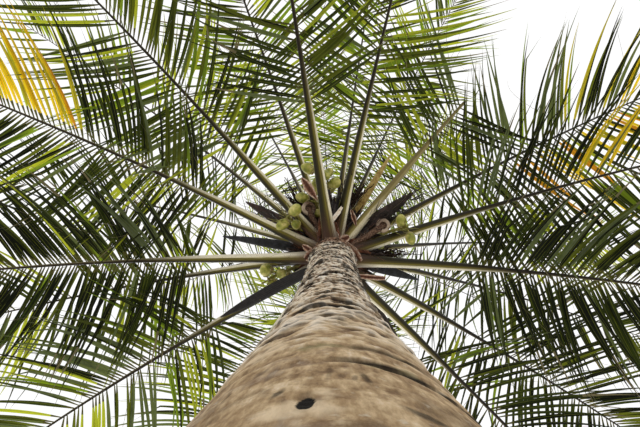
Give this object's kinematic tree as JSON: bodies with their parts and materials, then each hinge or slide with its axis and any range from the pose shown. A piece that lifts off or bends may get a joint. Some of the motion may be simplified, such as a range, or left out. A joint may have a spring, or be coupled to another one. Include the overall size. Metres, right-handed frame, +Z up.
{
  "type": "coconut palm tree",
  "caption": "Young coconut palm: leaning stem with a swollen bole, full crown of drooping pinnate fronds, nut bunches and dry spathes.",
  "frame": {"origin": "centre of the flat cut under the trunk, at ground level", "axes": "+Z up; the trunk leans towards +Y and a little towards +X; the picture looks up along +Z from beside the trunk's -Y side"},
  "size_m": [8.8574, 8.0274, 8.2267],
  "materials": {
    "bark": "rough ringed bark, grey-brown above and beige below",
    "fibre": "matt rusty-brown leaf sheath fibre",
    "frond": "satin olive-green leaflets on yellow-green stalks",
    "nut": "smooth yellow-green husk",
    "dry_sheath": "dull dark-brown ribbed wood",
    "dry_twig": "matt dark-brown dry twigs"
  },
  "bodies": {
    "root": {"trunk": "bark", "heart": "fibre", "spear": "frond", "cut_stalk_1": "fibre", "cut_stalk_2": "fibre", "frond_01": "frond", "frond_02": "frond", "frond_03": "frond", "frond_04": "frond", "frond_05": "frond", "frond_06": "frond", "frond_07": "frond", "frond_08": "frond", "frond_09": "frond", "frond_10": "frond", "frond_11": "frond", "frond_12": "frond", "frond_13": "frond", "frond_14": "frond", "frond_15": "frond", "frond_16": "frond", "frond_17": "frond", "frond_18": "frond", "frond_19": "frond", "frond_20": "frond", "frond_21": "frond", "frond_22": "frond", "frond_23": "frond", "frond_24": "frond", "frond_25": "frond", "frond_26": "frond", "frond_27": "frond", "frond_28": "frond", "frond_29": "frond", "frond_30": "frond", "nut_bunch_1": "nut", "nut_bunch_2": "nut", "nut_bunch_3": "nut", "nut_bunch_4": "nut", "nut_bunch_5": "nut", "spathe_1": "dry_sheath", "spathe_2": "dry_sheath", "spathe_3": "dry_sheath", "spathe_4": "dry_sheath", "spathe_5": "dry_sheath", "spathe_6": "dry_sheath", "spathe_7": "dry_sheath", "spathe_8": "dry_sheath", "spent_stalk_1": "dry_twig", "spent_stalk_2": "dry_twig", "spent_stalk_3": "dry_twig", "spent_stalk_4": "dry_twig"}
  },
  "joints": []
}
